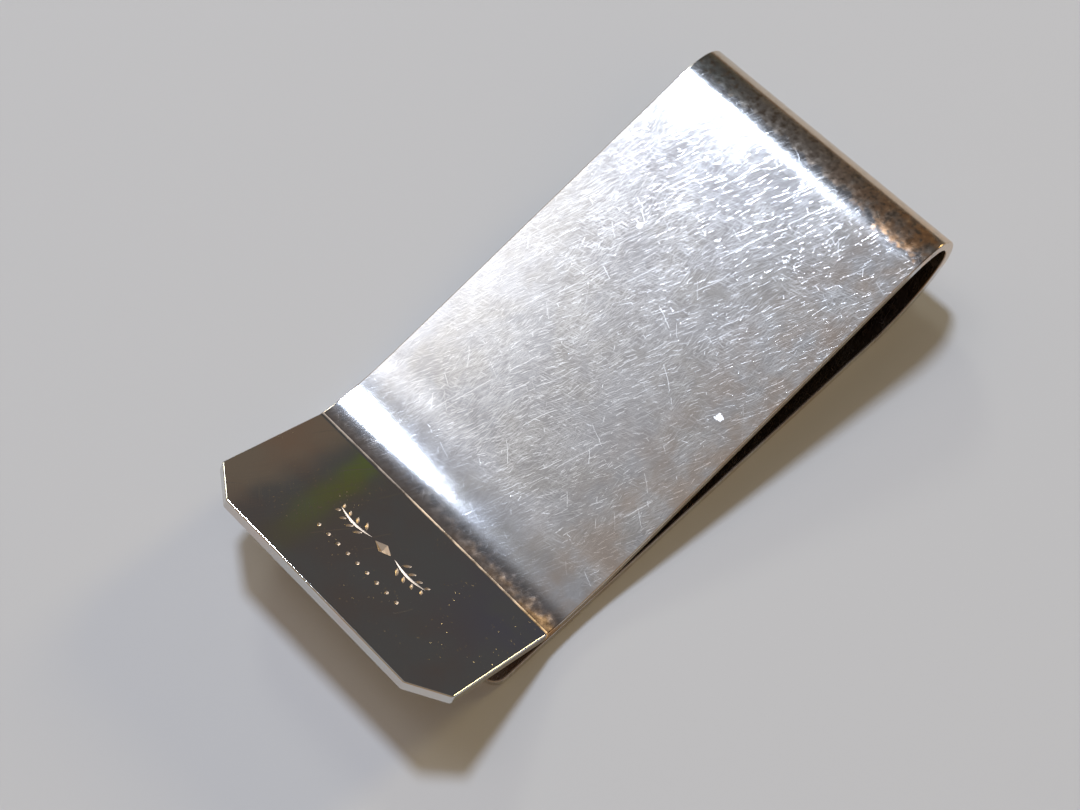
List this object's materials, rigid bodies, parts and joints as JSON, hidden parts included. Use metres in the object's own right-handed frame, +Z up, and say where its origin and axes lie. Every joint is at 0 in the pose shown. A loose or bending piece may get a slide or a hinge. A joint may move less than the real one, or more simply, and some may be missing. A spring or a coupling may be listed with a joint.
{
  "type": "money clip",
  "caption": "Money clip of folded spring metal: a straight front leaf pinches the back leaf, and its end turns up into a thumb lip with clipped corners.",
  "frame": {"origin": "middle of the clip's bounding box in X and Y, on the plane that the back leaf rests on", "axes": "+X along the strip to the closed end of the fold, +Y across the strip's width, +Z up from the back leaf to the front leaf"},
  "size_m": [0.0555, 0.025, 0.0085],
  "materials": {
    "worn_satin_metal": "satin silver tone, rubbed and finely scratched",
    "polished_metal": "mirror polished silver tone, lightly tarnished"
  },
  "bodies": {
    "back": {"back_leaf": "worn_satin_metal"},
    "fold_lower": {"lower_bend": "worn_satin_metal"},
    "fold_nose": {"nose_bend": "worn_satin_metal"},
    "front": {"front_leaf": "worn_satin_metal", "pinch_land": "worn_satin_metal", "lip_bend": "polished_metal", "thumb_lip": "polished_metal"}
  },
  "joints": [
    {"name": "lower_bend_flex", "type": "hinge", "parent": "back", "child": "fold_lower", "pos_m": [0.01977, 0, 0], "axis": [0, 1, 0], "range_deg": [0, 2.83]},
    {"name": "nose_bend_flex", "type": "hinge", "parent": "fold_lower", "child": "fold_nose", "pos_m": [0.02705, 0, 0.00339], "axis": [0, 1, 0], "range_deg": [0, 1.5]},
    {"name": "front_leaf_lift", "type": "hinge", "parent": "fold_nose", "child": "front", "pos_m": [0.02529, 0, 0.00836], "axis": [0, 1, 0], "range_deg": [0, 3.4], "stiffness_Nm_per_rad": 24.4, "springref_deg": -0.61}
  ],
  "couplings": [
    {"joint": "lower_bend_flex", "follows": "front_leaf_lift", "ratio": 0.83},
    {"joint": "nose_bend_flex", "follows": "front_leaf_lift", "ratio": 0.44}
  ]
}
